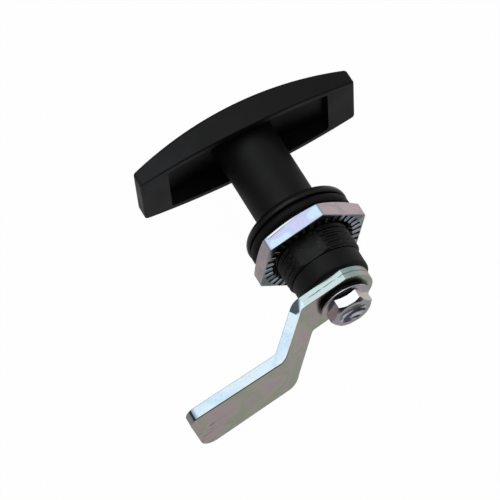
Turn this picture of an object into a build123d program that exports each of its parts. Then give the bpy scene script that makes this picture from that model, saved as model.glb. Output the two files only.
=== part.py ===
from build123d import *
import math
import os

# Quarter-turn lock with a T-handle, for a panel with a double-D hole.
# Millimetres. The origin is the centre of the flange's rear face, on the turning axis.
# +Y runs along the axis from the handle to the cam, X runs along the handle, +Z is up.

# T-handle: a boat-shaped bar, hollowed at the rear, on a round stem
bar_length = 60.0
bar_middle_width = 23.6
bar_end_width = 17.0
bar_middle_thickness = 7.8
bar_end_thickness = 4.2
bar_corner_round = 1.1
bar_front_round = 0.9
bar_rear_round = 0.5
hollow_rim = 1.8
hollow_end_pad = 7.6
hollow_skin = 2.3
hollow_corner_round = 1.0
stem_diameter = 16.2
stem_length = 22.7
stem_root_round = 1.2

# Housing: a flange, and a threaded neck with two flats
flange_diameter = 27.8
flange_thickness = 2.4
flange_front_round = 1.3
flange_rear_bevel = 0.3
neck_diameter = 19.8
neck_flats = 18.4
neck_length = 13.6
neck_end_bevel = 0.5

# Spindle: a round shaft with a square at each end
shaft_diameter = 10.0
square_flats = 8.0
root_depth = 17.0
tapped_spare = 2.35
tapped_bevel = 0.25
spindle_recess = 0.35

# Running and fitting clearances
shaft_clearance = 0.06
square_clearance = 0.06
stem_clearance = 0.2
thread_clearance = 0.05
face_gap = 0.3
thrust_gap = 0.05
ring_gap = 0.1
root_clearance = 0.02

# Thrust washer, in a recess of the flange, under the stem
stem_recess_depth = 1.6
thrust_washer_thickness = 0.5
thrust_washer_inset = 0.2

# Shaft seal
seal_section = 1.2
seal_place = 2.4
seal_groove_slack = 0.25

# Disc spring and retaining ring, in a counterbore at the neck's end
counterbore_diameter = 13.2
counterbore_depth = 3.3
disc_spring_inset = 0.2
disc_spring_thickness = 0.3
disc_spring_rise = 0.35
disc_spring_clearance = 0.25
ring_inset = 0.3
ring_thickness = 1.0
ring_groove_depth = 0.7
ring_groove_slack = 0.1
ring_mouth_angle = 70.0
ring_mouth_place = -90.0

# Stop: a lug on the neck's end, and a shorter lug inside the stop collar
turn_range = 90.0
stop_play = 0.5
lug_ledge = 0.15
lug_clearance = 0.3
lug_height = 1.9
collar_lug_angle = 60.0
collar_diameter = 18.6
collar_wall = 1.2
collar_floor = 3.2
collar_edge_round = 1.1

# Flange gasket
gasket_thickness = 2.7
gasket_inset = 0.1
gasket_clearance = 0.3
gasket_edge_round = 1.2

# Mounting nut, with its toothed face towards the cam
nut_flats = 27.0
nut_hex_height = 3.8
nut_collar_inset = 0.3
nut_collar_height = 0.9
nut_corner_round = 1.0
nut_turn = -18.0
tooth_count = 60
tooth_depth = 0.55
nut_bore_bevel = 1.25
tooth_ring_inset = 0.15
tooth_groove_share = 0.55
tooth_cut_past = 0.3

# Cam: a cranked plate with a square hole
cam_turn = -18.5
cam_thickness = 3.0
cam_head_radius = 8.4
cam_upper_inset = 0.8
cam_lower_inset = 2.2
cam_arm_spread = 0.7
cam_end_step = 1.6
cam_end_rise = 1.5
cam_reach = 47.9
cam_crank_start = 10.15
cam_offset = 8.75
cam_crank_angle = 41.5
cam_bend_radius = 1.5
cam_bend_skew = 8.0
cam_step_start = 19.5
cam_step_length = 4.0
cam_step_round = 2.0
cam_upper_corner = 3.2
cam_lower_corner = 3.4

# Spring washer and flanged bolt
spring_washer_diameter = 11.8
spring_washer_clearance = 0.2
spring_washer_thickness = 1.2
spring_washer_slot = 0.9
spring_washer_slant = 25.0
bolt_diameter = 6.0
bolt_length = 15.0
bolt_flange_diameter = 13.0
bolt_flange_rim = 0.7
bolt_flange_cone = 0.6
bolt_cone_inset = 1.0
bolt_flats = 10.0
bolt_head_height = 3.9
bolt_bevel_share = 0.06
bolt_bevel_angle = 30.0
bolt_tip_bevel = 0.6
bolt_dish_rim = 1.3
bolt_dish_depth = 0.7
bolt_turn = -11.0

# Places along the axis, from the front to the rear
flange_front = -flange_thickness
recess_floor = flange_front + stem_recess_depth
stem_end = recess_floor - thrust_gap - thrust_washer_thickness
bar_rear = flange_front - stem_length
bar_front = bar_rear - bar_middle_thickness
nut_front = gasket_thickness
nut_hex_front = nut_front + nut_collar_height
nut_rear = nut_hex_front + nut_hex_height
counterbore_floor = neck_length - counterbore_depth
ring_front = counterbore_floor + disc_spring_thickness + disc_spring_rise + ring_gap
ring_rear = ring_front + ring_thickness
collar_front = neck_length + face_gap
lug_end = neck_length + lug_height
collar_inner = lug_end + face_gap
cam_front = collar_inner + collar_floor
cam_rear = cam_front + cam_thickness
spindle_end = cam_rear - spindle_recess
bolt_seat = cam_rear + spring_washer_thickness
bolt_top = bolt_seat + bolt_head_height

tapped_bottom = bolt_seat - bolt_length - tapped_spare

shaft_radius = shaft_diameter / 2
tapped_radius = bolt_diameter / 2 + thread_clearance
neck_radius = neck_diameter / 2
stem_radius = stem_diameter / 2
gasket_radius = flange_diameter / 2 - gasket_inset
counterbore_radius = counterbore_diameter / 2
ring_radius = counterbore_radius - ring_inset
lug_inner_radius = counterbore_radius + lug_ledge
collar_inner_radius = collar_diameter / 2 - collar_wall
lug_outer_radius = collar_inner_radius - lug_clearance
tooth_inner_radius = neck_radius + thread_clearance + nut_bore_bevel
tooth_outer_radius = nut_flats / 2 - tooth_ring_inset
cam_upper_width = cam_head_radius - cam_upper_inset
cam_lower_width = cam_head_radius - cam_lower_inset
cam_arm_width = cam_lower_width + cam_arm_spread
cam_end_width = cam_arm_width + cam_end_step
cam_tip_width = cam_upper_width + cam_end_rise
dish_radius = bolt_flats / 2 - bolt_dish_rim
neck_lug_angle = 360 - collar_lug_angle - turn_range - 2 * stop_play
lug_gap_middle = neck_lug_angle / 2 + stop_play + collar_lug_angle / 2


def across(place):
    """The plane square to the axis at that place: its drawing shows X and Z, and extrudes towards -Y."""
    return Plane.XZ.offset(-place)


def turned(place, angle):
    """The same plane, turned about the axis by an angle from X towards Z."""
    return across(place).rotated((0, -angle, 0))


def squared(size, corner_diameter, clearance=0.0):
    """A square with its corners turned off, as a sketch to add or cut."""
    with BuildSketch() as outline:
        Rectangle(size + 2 * clearance, size + 2 * clearance)
        Circle(corner_diameter / 2 + clearance, mode=Mode.INTERSECT)
    return outline.sketch


def sector(inner, outer, middle_angle, width_angle):
    """A piece of a ring, as a sketch to add or cut."""
    half = math.radians(width_angle / 2)
    with BuildSketch() as outline:
        with BuildLine():
            start = (inner * math.cos(half), -inner * math.sin(half))
            corner = (outer * math.cos(half), -outer * math.sin(half))
            far_corner = (outer * math.cos(half), outer * math.sin(half))
            end = (inner * math.cos(half), inner * math.sin(half))
            Line(start, corner)
            ThreePointArc(corner, (outer, 0), far_corner)
            Line(far_corner, end)
            ThreePointArc(end, (inner, 0), start)
        make_face()
    return outline.sketch.rotate(Axis.Z, middle_angle)


def boat(length, middle_width, end_width):
    """The bar's outline seen from the front: two shallow arcs and two straight ends."""
    half_length = length / 2
    with BuildSketch() as outline:
        with BuildLine():
            upper_left = (-half_length, end_width / 2)
            upper_right = (half_length, end_width / 2)
            lower_left = (-half_length, -end_width / 2)
            lower_right = (half_length, -end_width / 2)
            ThreePointArc(upper_left, (0, middle_width / 2), upper_right)
            Line(upper_right, lower_right)
            ThreePointArc(lower_right, (0, -middle_width / 2), lower_left)
            Line(lower_left, upper_left)
        make_face()
    return outline.sketch


def side_of_bar(rear, skin):
    """The bar seen from above: a straight rear edge and an arched front edge, thinner by the skin."""
    half_length = bar_length / 2
    end_front = bar_rear - bar_end_thickness + skin
    with BuildSketch() as outline:
        with BuildLine():
            Line((-half_length, rear), (half_length, rear))
            Line((half_length, rear), (half_length, end_front))
            ThreePointArc((half_length, end_front), (0, bar_front + skin), (-half_length, end_front))
            Line((-half_length, end_front), (-half_length, rear))
        make_face()
    return outline.sketch


def cam_outline():
    """The cam's plate seen along the axis: a round head, an arm, and a wider end cut askew."""
    head_upper = -math.sqrt(cam_head_radius**2 - cam_upper_width**2)
    head_lower = -math.sqrt(cam_head_radius**2 - cam_lower_width**2)
    lean = math.tan(math.radians(cam_bend_skew))
    with BuildSketch() as outline:
        with BuildLine():
            upper_start = (head_upper, cam_upper_width)
            lower_start = (head_lower, -cam_lower_width)
            ThreePointArc(upper_start, (-cam_head_radius, 0), lower_start)
            FilletPolyline(
                lower_start,
                (cam_step_start, -cam_arm_width),
                (cam_step_start + cam_step_length, -cam_end_width),
                (cam_reach + cam_end_width * lean, -cam_end_width),
                (cam_reach - cam_tip_width * lean, cam_tip_width),
                (cam_step_start, cam_upper_width),
                upper_start,
                radius=[cam_step_round, cam_step_round, cam_lower_corner, cam_upper_corner, cam_step_round],
            )
        make_face()
    return outline.sketch


# Hollow of the bar, as a tool: it follows the bar's sides and its arched front
hollow_length = bar_length - 2 * hollow_end_pad
with BuildPart() as hollow_tool:
    with BuildSketch(across(bar_rear)):
        add(boat(bar_length, bar_middle_width - 2 * hollow_rim, bar_end_width - 2 * hollow_rim))
        Rectangle(hollow_length, bar_middle_width, mode=Mode.INTERSECT)
        fillet(vertices(), hollow_corner_round)
    extrude(amount=bar_middle_thickness)
    with BuildSketch(Plane.XY):
        add(side_of_bar(bar_rear + hollow_skin, hollow_skin))
    extrude(amount=bar_middle_width, both=True, mode=Mode.INTERSECT)

# T-handle: one casting, the bar and its stem
stem_root_room = bar_middle_width / 2 - hollow_rim - stem_radius
with BuildPart() as t_handle:
    with BuildSketch(across(bar_rear)):
        add(boat(bar_length, bar_middle_width, bar_end_width))
        fillet(vertices(), bar_corner_round)
    extrude(amount=bar_middle_thickness)
    with BuildSketch(Plane.XY):
        add(side_of_bar(bar_rear, 0))
    extrude(amount=bar_middle_width, both=True, mode=Mode.INTERSECT)
    front = faces().sort_by(Axis.Y)[0]
    fillet(front.edges(), bar_front_round)
    rear = faces().filter_by(Axis.Y).sort_by(Axis.Y)[-1]
    fillet(rear.edges(), bar_rear_round)
    add(hollow_tool.part, mode=Mode.SUBTRACT)
    with BuildSketch(across(stem_end)):
        Circle(stem_radius)
    extrude(amount=stem_end - bar_front - hollow_skin / 2)
    fillet(edges(Select.LAST).sort_by(Axis.Y)[0], min(stem_root_round, stem_root_room / 2))
    with BuildSketch(across(stem_end)):
        add(squared(square_flats, shaft_diameter, root_clearance))
    extrude(amount=root_depth + root_clearance, mode=Mode.SUBTRACT)
t_handle.part.label = "t_handle"

# Housing: flange, neck with two flats, bore, counterbore and stop lug
with BuildPart() as housing:
    with BuildSketch(across(0)):
        Circle(flange_diameter / 2)
    extrude(amount=flange_thickness)
    fillet(edges().group_by(Axis.Y)[0], flange_front_round)
    chamfer(edges().group_by(Axis.Y)[-1], flange_rear_bevel)
    with BuildSketch(turned(0, cam_turn)):
        Circle(neck_radius)
        Rectangle(neck_diameter, neck_flats, mode=Mode.INTERSECT)
    extrude(amount=-neck_length)
    chamfer(edges().group_by(Axis.Y)[-1], neck_end_bevel)
    with BuildSketch(turned(neck_length, cam_turn)):
        add(sector(lug_inner_radius, lug_outer_radius, 0, neck_lug_angle))
    extrude(amount=-lug_height)
    with BuildSketch(across(flange_front)):
        Circle(stem_radius + stem_clearance)
    extrude(amount=-stem_recess_depth, mode=Mode.SUBTRACT)
    with BuildSketch(across(flange_front)):
        Circle(shaft_radius + shaft_clearance)
    extrude(amount=-(neck_length - flange_front), mode=Mode.SUBTRACT)
    with BuildSketch(across(neck_length)):
        Circle(counterbore_radius)
    extrude(amount=counterbore_depth, mode=Mode.SUBTRACT)
housing.part.label = "housing"

# Spindle: square root in the stem, round journal in the housing, square end for collar and cam
with BuildPart() as spindle:
    with BuildSketch(across(stem_end)):
        add(squared(square_flats, shaft_diameter))
    extrude(amount=root_depth)
    with BuildSketch(across(stem_end)):
        Circle(shaft_radius)
    extrude(amount=-(collar_inner - stem_end))
    with BuildSketch(turned(collar_inner, cam_turn)):
        add(squared(square_flats, shaft_diameter))
    extrude(amount=-(spindle_end - collar_inner))
    with BuildSketch(across(spindle_end)):
        Circle(tapped_radius)
    extrude(amount=spindle_end - tapped_bottom, mode=Mode.SUBTRACT)
    chamfer(edges().filter_by(GeomType.CIRCLE).group_by(Axis.Y)[-1], tapped_bevel)
    with BuildSketch(Plane.XY):
        with Locations((shaft_radius, seal_place)):
            Rectangle(2 * seal_section, seal_section + seal_groove_slack)
    revolve(axis=Axis.Y, mode=Mode.SUBTRACT)
    with BuildSketch(Plane.XY):
        with Locations((shaft_radius, (ring_front + ring_rear) / 2)):
            Rectangle(2 * ring_groove_depth, ring_thickness + ring_groove_slack)
    revolve(axis=Axis.Y, mode=Mode.SUBTRACT)
spindle.part.label = "spindle"

# Thrust washer of slippery plastic between the stem and the flange
with BuildPart() as thrust_washer:
    with BuildSketch(across(stem_end)):
        Circle(stem_radius - thrust_washer_inset)
        Circle(shaft_radius + shaft_clearance, mode=Mode.SUBTRACT)
    extrude(amount=-thrust_washer_thickness)
thrust_washer.part.label = "thrust_washer"

# Rubber seal in the spindle's groove
with BuildPart() as spindle_seal:
    with BuildSketch(Plane.XY):
        with Locations((shaft_radius - seal_section / 2, seal_place)):
            Circle(seal_section / 2)
    revolve(axis=Axis.Y)
spindle_seal.part.label = "spindle_seal"

# Disc spring: a shallow cone that takes up the end play
with BuildPart() as disc_spring:
    with BuildSketch(Plane.XY):
        with BuildLine():
            inner = shaft_radius + disc_spring_clearance
            outer = counterbore_radius - disc_spring_inset
            Polyline(
                (outer, counterbore_floor),
                (outer, counterbore_floor + disc_spring_thickness),
                (inner, counterbore_floor + disc_spring_thickness + disc_spring_rise),
                (inner, counterbore_floor + disc_spring_rise),
                close=True,
            )
        make_face()
    revolve(axis=Axis.Y)
disc_spring.part.label = "disc_spring"

# Retaining ring, open on one side, in the spindle's groove
with BuildPart() as retaining_ring:
    with BuildSketch(across(ring_front)):
        Circle(ring_radius)
        Circle(shaft_radius - ring_groove_depth + root_clearance, mode=Mode.SUBTRACT)
        add(sector(tapped_radius, counterbore_radius, ring_mouth_place, ring_mouth_angle), mode=Mode.SUBTRACT)
    extrude(amount=-ring_thickness)
retaining_ring.part.label = "retaining_ring"

# Stop collar: a cup on the spindle's square, with a lug that meets the housing's lug
with BuildPart() as stop_collar:
    with BuildSketch(across(collar_front)):
        Circle(collar_diameter / 2)
    extrude(amount=-(cam_front - collar_front))
    fillet(edges().group_by(Axis.Y)[-1], collar_edge_round)
    with BuildSketch(across(collar_front)):
        Circle(collar_inner_radius)
    extrude(amount=-(collar_inner - collar_front), mode=Mode.SUBTRACT)
    with BuildSketch(turned(collar_inner, cam_turn)):
        add(sector(lug_inner_radius, collar_inner_radius, lug_gap_middle, collar_lug_angle))
    extrude(amount=lug_height)
    with BuildSketch(turned(collar_inner, cam_turn)):
        add(squared(square_flats, shaft_diameter, square_clearance))
    extrude(amount=-collar_floor, mode=Mode.SUBTRACT)
stop_collar.part.label = "stop_collar"

# Rubber gasket behind the flange
with BuildPart() as flange_gasket:
    with BuildSketch(across(0)):
        Circle(gasket_radius)
    extrude(amount=-gasket_thickness)
    fillet(edges(), gasket_edge_round)
    with BuildSketch(across(0)):
        Circle(neck_radius + gasket_clearance)
    extrude(amount=-gasket_thickness, mode=Mode.SUBTRACT)
flange_gasket.part.label = "flange_gasket"

# Mounting nut: a hexagon with a round collar in front and a ring of teeth behind
tooth_pitch = 2 * math.pi * tooth_outer_radius / tooth_count
tooth_width = tooth_pitch * tooth_groove_share
with BuildPart() as tooth_groove:
    with BuildSketch(Plane.YZ.offset(tooth_inner_radius - tooth_cut_past)):
        with BuildLine():
            Polyline(
                (nut_rear - tooth_depth, 0),
                (nut_rear + tooth_depth, tooth_width),
                (nut_rear + tooth_depth, -tooth_width),
                close=True,
            )
        make_face()
    extrude(amount=tooth_outer_radius - tooth_inner_radius + tooth_cut_past)
with BuildPart() as mounting_nut:
    with BuildSketch(turned(nut_hex_front, nut_turn)):
        RegularPolygon(nut_flats / 2, 6, major_radius=False)
        fillet(vertices(), nut_corner_round)
    extrude(amount=-nut_hex_height)
    with BuildSketch(across(nut_front)):
        Circle(nut_flats / 2 - nut_collar_inset)
    extrude(amount=-nut_collar_height)
    with BuildSketch(across(nut_front)):
        Circle(neck_radius + thread_clearance)
    extrude(amount=-(nut_rear - nut_front), mode=Mode.SUBTRACT)
    bore_edge = edges().filter_by(GeomType.CIRCLE).group_by(Axis.Y)[-1].sort_by(SortBy.RADIUS)[-1]
    chamfer(bore_edge, nut_bore_bevel)
    for count in range(tooth_count):
        add(tooth_groove.part.rotate(Axis.Y, count * 360 / tooth_count), mode=Mode.SUBTRACT)
mounting_nut.part.label = "mounting_nut"

# Cam: the bent side view, drawn square to the bends, then cut to the plate's outline
crank_run = cam_offset / math.tan(math.radians(cam_crank_angle))
mitre = cam_thickness * math.tan(math.radians(cam_crank_angle / 2))
cam_outer_bend = cam_bend_radius + cam_thickness
cam_past = cam_reach + cam_head_radius
cam_hole = square_flats + 2 * square_clearance
with BuildPart() as cam:
    with BuildSketch(Plane.XY.rotated((0, -(cam_turn + cam_bend_skew), 0))):
        with BuildLine():
            rear_side = FilletPolyline(
                (-cam_past, cam_rear),
                (cam_crank_start, cam_rear),
                (cam_crank_start + crank_run, cam_rear + cam_offset),
                (cam_past, cam_rear + cam_offset),
                radius=[cam_bend_radius, cam_outer_bend],
            )
            front_side = FilletPolyline(
                (-cam_past, cam_front),
                (cam_crank_start + mitre, cam_front),
                (cam_crank_start + mitre + crank_run, cam_front + cam_offset),
                (cam_past, cam_front + cam_offset),
                radius=[cam_outer_bend, cam_bend_radius],
            )
            Line(rear_side @ 0, front_side @ 0)
            Line(rear_side @ 1, front_side @ 1)
        make_face()
    extrude(amount=cam_past, both=True)
    with BuildSketch(turned(cam_front, cam_turn)):
        add(cam_outline())
        Rectangle(cam_hole, cam_hole, mode=Mode.SUBTRACT)
    extrude(amount=-(cam_thickness + cam_offset), mode=Mode.INTERSECT)
cam.part.label = "cam"

# Spring washer: a ring with a slanting slot
with BuildPart() as spring_washer:
    with BuildSketch(across(cam_rear)):
        Circle(spring_washer_diameter / 2)
        Circle(bolt_diameter / 2 + spring_washer_clearance, mode=Mode.SUBTRACT)
    extrude(amount=-spring_washer_thickness)
    with BuildSketch(Plane.XY):
        with Locations((0, cam_rear + spring_washer_thickness / 2)):
            Rectangle(spring_washer_slot, spring_washer_diameter, rotation=-spring_washer_slant)
    extrude(amount=-spring_washer_diameter, mode=Mode.SUBTRACT)
spring_washer.part.label = "spring_washer"

# Bolt: hexagon head with a bevelled, dished top, on a flange
bevel_run = bolt_flats / 2 * (1 + bolt_bevel_share)
bevel_drop = bevel_run * math.tan(math.radians(bolt_bevel_angle))
with BuildPart() as cam_bolt:
    with BuildSketch(turned(bolt_seat, bolt_turn)):
        RegularPolygon(bolt_flats / 2, 6, major_radius=False)
    extrude(amount=-bolt_head_height)
    with BuildSketch(Plane.XY):
        with BuildLine():
            Polyline(
                (0, cam_rear),
                (bolt_flats, cam_rear),
                (bolt_flats, bolt_top - bevel_drop),
                (bolt_flats - bevel_run, bolt_top),
                (0, bolt_top),
                close=True,
            )
        make_face()
    revolve(axis=Axis.Y, mode=Mode.INTERSECT)
    with BuildSketch(Plane.XY):
        with BuildLine():
            Polyline(
                (0, bolt_seat - bolt_length),
                (bolt_diameter / 2 - bolt_tip_bevel, bolt_seat - bolt_length),
                (bolt_diameter / 2, bolt_seat - bolt_length + bolt_tip_bevel),
                (bolt_diameter / 2, bolt_seat),
                (bolt_flange_diameter / 2, bolt_seat),
                (bolt_flange_diameter / 2, bolt_seat + bolt_flange_rim),
                (bolt_flats / 2 - bolt_cone_inset, bolt_seat + bolt_flange_rim + bolt_flange_cone),
                (0, bolt_seat + bolt_flange_rim + bolt_flange_cone),
                close=True,
            )
        make_face()
    revolve(axis=Axis.Y)
    with BuildSketch(Plane.XY):
        with BuildLine():
            Line((0, bolt_top), (0, bolt_top - bolt_dish_depth))
            TangentArc((0, bolt_top - bolt_dish_depth), (dish_radius, bolt_top), tangent=(1, 0))
            Line((dish_radius, bolt_top), (0, bolt_top))
        make_face()
    revolve(axis=Axis.Y, mode=Mode.SUBTRACT)
cam_bolt.part.label = "cam_bolt"

os.makedirs("parts", exist_ok=True)
export_step(t_handle.part, "parts/t_handle.step")
export_step(spindle.part, "parts/spindle.step")
export_step(thrust_washer.part, "parts/thrust_washer.step")
export_step(spindle_seal.part, "parts/spindle_seal.step")
export_step(housing.part, "parts/housing.step")
export_step(flange_gasket.part, "parts/flange_gasket.step")
export_step(mounting_nut.part, "parts/mounting_nut.step")
export_step(disc_spring.part, "parts/disc_spring.step")
export_step(retaining_ring.part, "parts/retaining_ring.step")
export_step(stop_collar.part, "parts/stop_collar.step")
export_step(cam.part, "parts/cam.step")
export_step(spring_washer.part, "parts/spring_washer.step")
export_step(cam_bolt.part, "parts/cam_bolt.step")
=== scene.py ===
import math

import bpy
from mathutils import Matrix, Vector


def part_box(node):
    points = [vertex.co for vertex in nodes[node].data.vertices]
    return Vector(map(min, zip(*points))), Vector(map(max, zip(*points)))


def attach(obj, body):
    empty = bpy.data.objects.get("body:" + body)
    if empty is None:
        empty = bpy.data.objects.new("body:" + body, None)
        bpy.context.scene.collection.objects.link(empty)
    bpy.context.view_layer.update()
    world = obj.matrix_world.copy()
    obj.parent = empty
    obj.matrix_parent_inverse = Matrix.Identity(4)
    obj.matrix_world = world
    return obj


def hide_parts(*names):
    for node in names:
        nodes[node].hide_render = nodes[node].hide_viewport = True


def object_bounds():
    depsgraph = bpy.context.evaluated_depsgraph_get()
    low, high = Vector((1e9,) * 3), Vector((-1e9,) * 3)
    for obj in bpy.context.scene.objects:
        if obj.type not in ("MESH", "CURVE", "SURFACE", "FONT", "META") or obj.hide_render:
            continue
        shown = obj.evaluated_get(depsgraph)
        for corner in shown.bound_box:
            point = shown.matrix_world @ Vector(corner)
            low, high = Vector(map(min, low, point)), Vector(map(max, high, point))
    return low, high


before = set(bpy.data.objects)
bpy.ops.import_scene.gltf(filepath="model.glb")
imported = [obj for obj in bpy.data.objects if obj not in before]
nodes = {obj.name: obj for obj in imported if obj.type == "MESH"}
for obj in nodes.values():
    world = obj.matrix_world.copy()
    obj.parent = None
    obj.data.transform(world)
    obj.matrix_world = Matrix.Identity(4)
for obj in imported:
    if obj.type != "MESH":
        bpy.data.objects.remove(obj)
cad_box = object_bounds()

# Lengths are in millimetres up to the mesh makers, which turn them into metres
MM = 0.001


def corners(node):
    """Lowest and highest corner of a node of the frame, in millimetres."""
    low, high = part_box(node)
    return low / MM, high / MM


housing_low, housing_high = corners("housing")
nut_low, nut_high = corners("mounting_nut")
bolt_low, bolt_high = corners("cam_bolt")
cam_rear = corners("cam")[1].y
washer_rear = corners("spring_washer")[1].y

# Camera: its aim and place come from a fit to the photograph's outline; near and far are in metres
PICTURE_SIZE = 500
FOCAL_PIXELS = 2697.976
SENSOR_WIDTH = 36.0
CAMERA_DISTANCE = 661.178
CAMERA_AIM = (12.846, -1.463, -2.055)
CAMERA_AZIMUTH = 156.2333
CAMERA_ELEVATION = 61.8301
CAMERA_ROLL = -5.3424
CAMERA_NEAR = 0.05
CAMERA_FAR = 20

# Small shapes that pieces share: a broken edge, and the least distance between two rows of points
EDGE_BREAK = 0.15
ROW_GAP = 0.02

# Rounded CAD edges: corners this near are joined, and an edge's turn in degrees makes it flat or sharp
JOIN_REACH = 0.002
FLAT_TURN = 1
SHARP_TURN = 40

# Flange and bore
FLANGE_RADIUS = housing_high.x
FLANGE_FRONT = housing_low.y
FLANGE_FRONT_ROUND = 1.3
FLANGE_FRONT_STRETCH = 1.4
FLANGE_REAR_ROUND = 0.5
RECESS_RADIUS = 8.3
RECESS_FLOOR = -0.8
BORE_RADIUS = 5.06
COUNTERBORE_RADIUS = 6.6
COUNTERBORE_DEPTH = 3.3

# Stop lug, threaded neck and its two flats
LUG_INNER = 6.75
LUG_OUTER = 7.8
LUG_HEIGHT = 1.9
LUG_ANGLE = 208.0
NECK_RADIUS = 9.9
NECK_FLAT = 9.2
NECK_END = housing_high.y - LUG_HEIGHT
NECK_BEVEL = 0.5
NECK_SOFTNESS = 0.25
THREAD_PITCH = 1.5
THREAD_DEPTH = 0.55
THREAD_PHASE = 0.66
THREAD_START = 3.0
THREAD_FLANK = (0.12, 0.9)
THREAD_FADE = (23.0, 33.0)
ROWS_PER_PITCH = 16

# Nut, with the line where its upper flat rolls over towards the front, along which a highlight and a dark
# line are painted
NUT_FLAT = 13.5
NUT_CORNER_ROUND = 1.0
NUT_FRONT = nut_low.y
NUT_REAR = nut_high.y
NUT_COLLAR_RADIUS = 12.6
NUT_COLLAR_HEIGHT = 0.5
NUT_FRONT_SLOPE = 0.3
NUT_BORE = 9.95
NUT_BORE_FRONT_BEVEL = 0.4
NUT_BORE_BEVEL = 1.25
NUT_EDGE_ROUND = 0.22
NUT_ANGLE = -18.0
NUT_FLATWISE = (0.951, 0.0, -0.309)
ROLL_START = 3.75
ROLL_SLOPE = 0.1
ROLL_END = 6.7
ROLL_FADE = (-3.0, 4.5)

# Slots in the nut's rear
TOOTH_COUNT = 34
TOOTH_DEPTH = 0.8
TOOTH_OUTER = 13.3
TOOTH_SHARE = 0.62
TOOTH_PHASE = 0.5
TOOTH_FLANK = 0.6
TOOTH_WALL = 0.05
TOOTH_FOOT = 0.4
TOOTH_STEPS = (0.8, 0.5, 0.2, 0.0)

# Cam: lengthwise is along the arm, crosswise is across it, and a level is a place along the axis
CAM_ANGLE = -18.5
CAM_ALONG = (math.cos(math.radians(CAM_ANGLE)), 0.0, math.sin(math.radians(CAM_ANGLE)))
CAM_ACROSS = (-CAM_ALONG[2], 0.0, CAM_ALONG[0])
CAM_EDGE_ROUND = 0.15
CAM_LIFT = 8.75
CAM_UPPER_WIDTH = 7.6
CAM_STEP_START = 19.5
CAM_END_SLOPE = 0.0555
HEAD_REAR = cam_rear - CAM_LIFT
HEAD_LENGTH = 8.2
HEAD_ROUGH_START = -2.5
BEND_START = 10.6
BEND_LEVEL = HEAD_REAR + 1.2
WEDGE_LEVEL = BEND_LEVEL - 0.9
SHEAR_LEVEL = HEAD_REAR - 1.8
SHEAR_WANDER = 0.5
SHEAR_LENGTH = 7.0
END_CORNER_START = 42.5
# Where the painted dark line along the cam's upper edge starts, and how wide it is
EDGE_LINE_LEVEL = cam_rear - 2.25
EDGE_LINE_WIDTH = 0.26
SCRATCHES_START = 39.5
SCRATCHES_LOW = -7.5
SCRATCHES_HIGH = 2.5
# Radius of the painted shadow round the spring washer
WASHER_SHADOW_RADIUS = 6.9

# Bolt
BOLT_SEAT = washer_rear
BOLT_TOP = bolt_high.y
BOLT_TIP = bolt_low.y
BOLT_FLAT = 5.0
BOLT_ANGLE = -5.5
BOLT_CORNER_ROUND = 0.3
BOLT_FLANGE_RADIUS = bolt_high.x
BOLT_FLANGE_RIM = 0.4
BOLT_RIM_ROUND = 0.2
BOLT_FLANGE_ANGLE = 28.0
BOLT_CONE_RADIUS = BOLT_FLANGE_RADIUS - BOLT_RIM_ROUND
BOLT_RIM_TOP = BOLT_SEAT + BOLT_FLANGE_RIM
BOLT_CONE_TOP = BOLT_SEAT + 1.2
BOLT_FOOT_OUT = 0.1
BOLT_FOOT_RISE = 0.06
BOLT_FOOT_TOP = 0.2
BOLT_WALL_START = BOLT_RIM_TOP + 1.2
BOLT_TOP_ROUND = 0.45
BOLT_CAP_STEPS = (0.06, 0.2, 0.4)
BOLT_BEVEL_START = 4.8
BOLT_BEVEL_ANGLE = 42.0
BOLT_DISH_RADIUS = 3.7
BOLT_DISH_DEPTH = 0.9
BOLT_DISH_STEPS = 12
BOLT_DISH_LOW = BOLT_TOP - 1.3
BOLT_LIP_WIDTH = 0.18
BOLT_LIP_DROP = 0.07
BOLT_LIP_CENTRE = (-0.02, -0.25)
BOLT_SHANK_RADIUS = 3.0
BOLT_TIP_BEVEL = 0.6

# Directions; the lock's axis runs along Y, from the handle to the cam
SIDEWAYS = (1, 0, 0)
OTHER_SIDE = (-1, 0, 0)
AXIS = (0, 1, 0)
FORWARD = (0, -1, 0)
UP = (0, 0, 1)
TOP_DIRECTION = (0.31, 0.0, 0.951)

# Colours of the black coats
COAT = (0.0045, 0.0048, 0.0058)
COAT_CLOUD = (0.0062, 0.0062, 0.0068)
# Lighter colour towards the handle's +X end
COAT_LIGHTER_END = (0.017, 0.018, 0.022)
COAT_DUST = (0.05, 0.05, 0.048)
CAST = (0.0035, 0.0036, 0.004)
CAST_CLOUD = (0.006, 0.006, 0.0062)
# Lighter worn spots on the neck, which also stand in for painted highlights on its threads
CAST_RUBBED_SHEEN = (0.05, 0.05, 0.05)
RUBBER_BLOOM = (1.6, 1.6, 1.55)

# Colours of the zinc's film
MAUVE = (0.71, 0.57, 0.60)
BEIGE = (0.68, 0.63, 0.54)
OLIVE = (0.55, 0.61, 0.46)
SILVER = (0.86, 0.90, 0.90)
PALE_GREEN = (0.66, 0.78, 0.77)
SILVER_BLUE = (0.67, 0.79, 0.91)
LAVENDER = (0.50, 0.57, 0.78)
AQUA = (0.56, 0.72, 0.84)
PINK = (0.57, 0.56, 0.79)
ROSE_GREY = (0.55, 0.49, 0.54)
LILAC = (0.74, 0.62, 0.80)
# Violet and cream are painted reflection tints for the bolt's two sides
VIOLET_REFLECTION = (0.98, 0.74, 1.0)
CREAM_REFLECTION = (0.95, 0.87, 0.83)
SLATE = (0.20, 0.25, 0.28)
STEEL = (0.50, 0.54, 0.56)
WORN_ZINC = (0.3, 0.3, 0.31)
SCRATCHED_ZINC = (0.3, 0.3, 0.32)
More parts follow.
